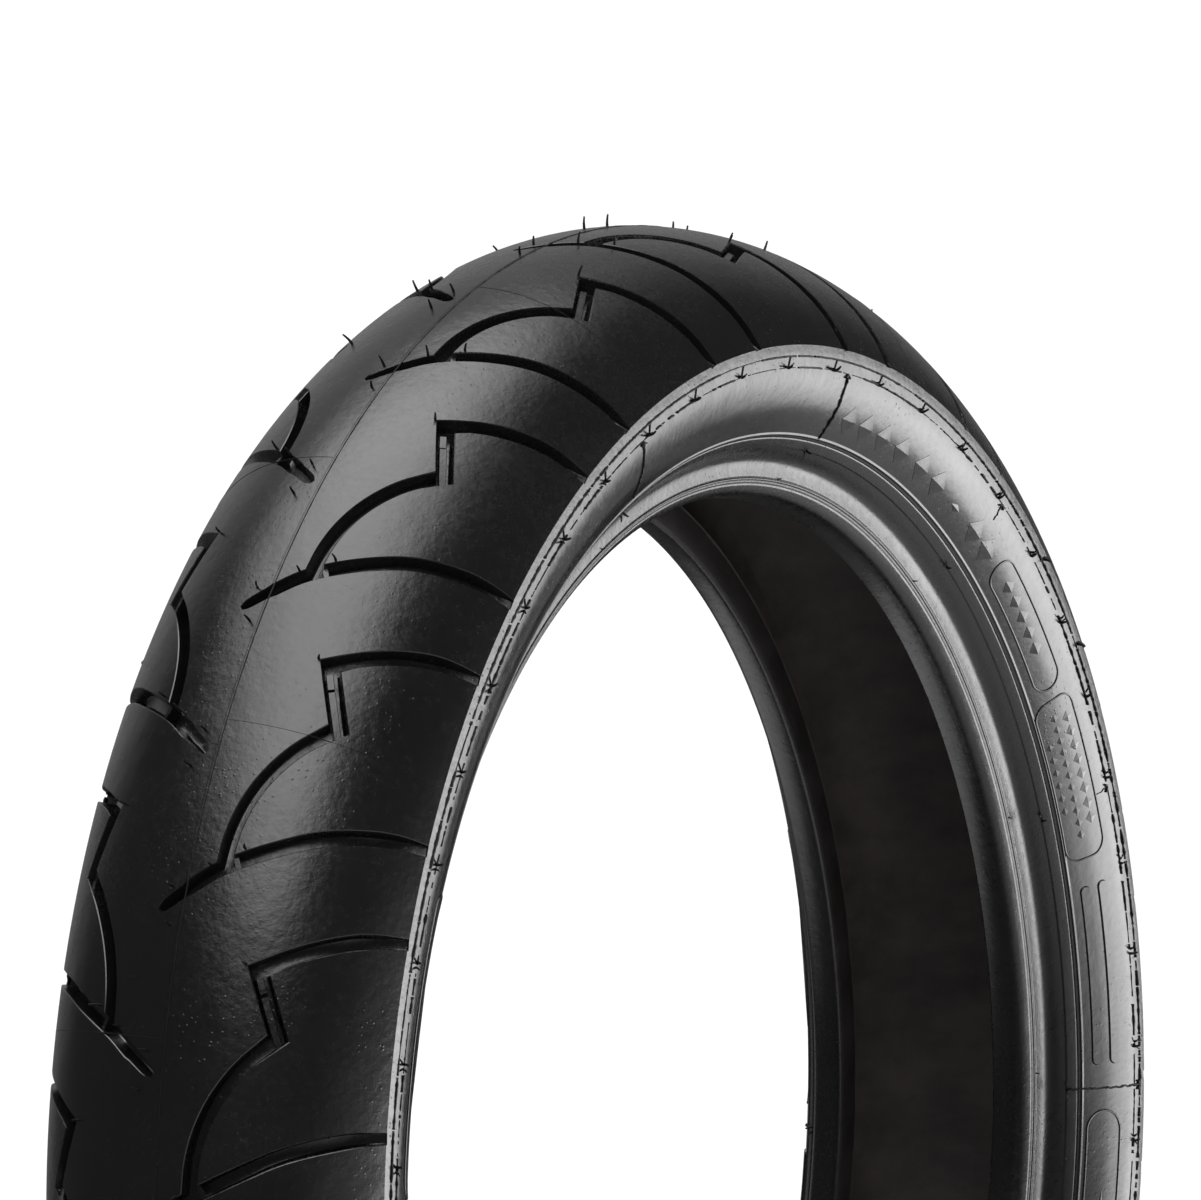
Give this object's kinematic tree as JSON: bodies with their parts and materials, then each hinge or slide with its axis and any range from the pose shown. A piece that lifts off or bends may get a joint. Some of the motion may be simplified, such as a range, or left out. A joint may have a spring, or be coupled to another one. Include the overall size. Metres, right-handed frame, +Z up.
{
  "type": "motorcycle tire",
  "caption": "Tubeless motorcycle tire off the rim: grooved round tread on a corded carcass with wire beads, for a 17 inch rim.",
  "frame": {"origin": "centre of the tire, on the axle line and in the middle plane of the tread", "axes": "+Y along the wheel axle to the left side of the motorcycle, +Z up, +X forward"},
  "size_m": [0.614, 0.1246, 0.614],
  "materials": {
    "tread_rubber": "new moulded rubber, satin with a soft sheen",
    "sidewall_rubber": "new moulded rubber, semi-gloss",
    "rim_strip_rubber": "hard rubber, glossy",
    "liner_rubber": "matt brown-black rubber with faint radial marks",
    "base_rubber": "cut black rubber, matt",
    "nylon_cord": "dipped nylon cord, matt",
    "chafer_fabric": "square-woven strip, matt",
    "bead_wire": "bronze-coated steel wire"
  },
  "bodies": {
    "root": {"tread_cap": "tread_rubber", "tread_base": "base_rubber", "breaker_outer": "nylon_cord", "breaker_inner": "nylon_cord", "carcass_ply_turned_up": "nylon_cord", "carcass_ply_outer": "nylon_cord", "inner_liner": "liner_rubber", "shoulder_wedge_left": "base_rubber", "shoulder_wedge_right": "base_rubber", "sidewall_left": "sidewall_rubber", "sidewall_right": "sidewall_rubber", "bead_core_left": "bead_wire", "bead_core_right": "bead_wire", "bead_wrap_left": "nylon_cord", "bead_wrap_right": "nylon_cord", "bead_filler_left": "base_rubber", "bead_filler_right": "base_rubber", "chafer_left": "chafer_fabric", "chafer_right": "chafer_fabric", "rim_strip_left": "rim_strip_rubber", "rim_strip_right": "rim_strip_rubber"}
  },
  "joints": []
}
